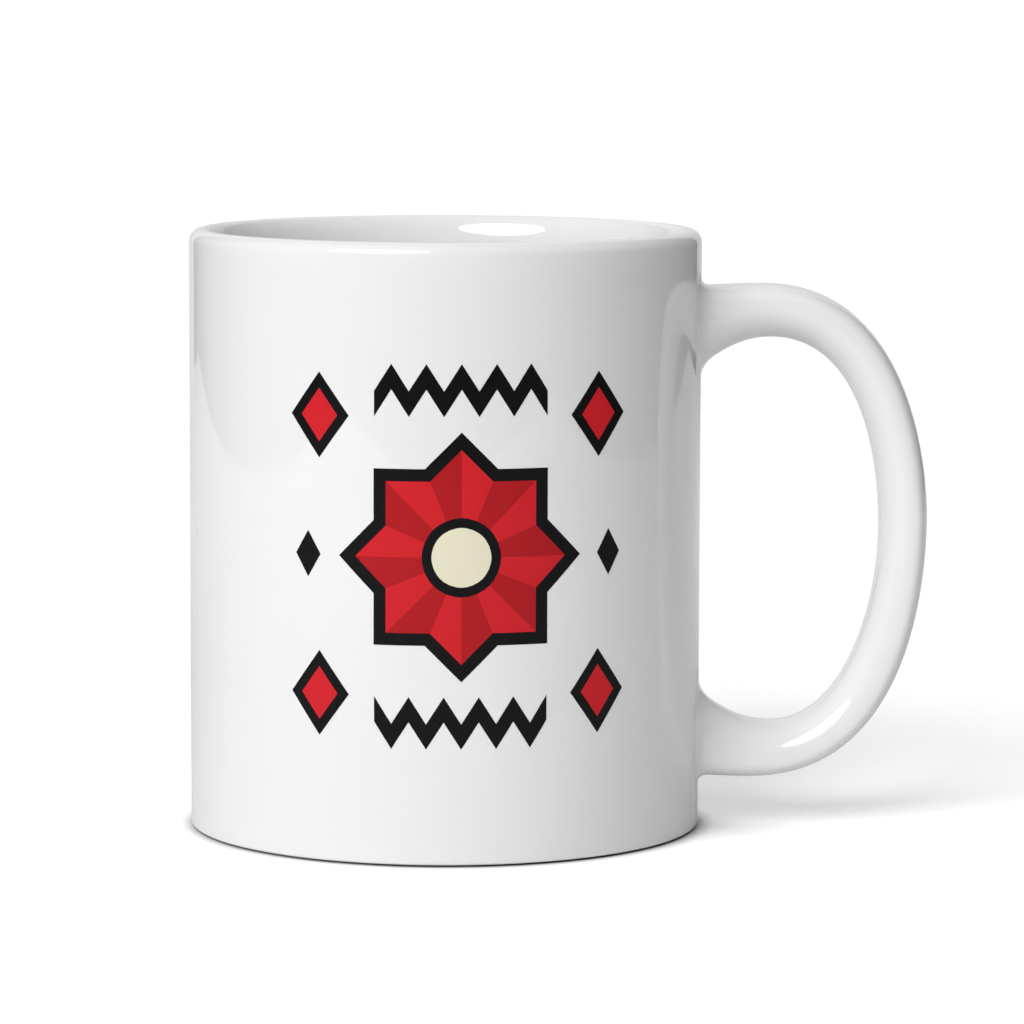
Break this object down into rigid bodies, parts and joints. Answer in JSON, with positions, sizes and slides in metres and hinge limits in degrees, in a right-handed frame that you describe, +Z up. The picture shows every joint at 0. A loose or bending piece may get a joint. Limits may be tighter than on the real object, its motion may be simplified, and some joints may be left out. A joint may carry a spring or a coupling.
{
  "type": "mug",
  "caption": "Straight-sided glazed ceramic drinking mug with a looped handle and a foot ring.",
  "frame": {"origin": "on the standing surface, at the centre of the mug's footprint with its handle; the cup's own axis is at x = -18.15 mm", "axes": "+Z up; +X from the cup's axis towards the handle; the printed front faces -Y"},
  "size_m": [0.1182, 0.082, 0.096],
  "materials": {
    "white_glaze": "high-gloss white glaze, bare matt clay on the foot ring's standing face",
    "black_print": "gloss black ceramic ink, under the glaze's shine",
    "red_print": "gloss red ceramic ink, under the glaze's shine",
    "cream_print": "gloss cream ceramic ink, under the glaze's shine"
  },
  "bodies": {
    "root": {"mug": "white_glaze"}
  },
  "joints": []
}
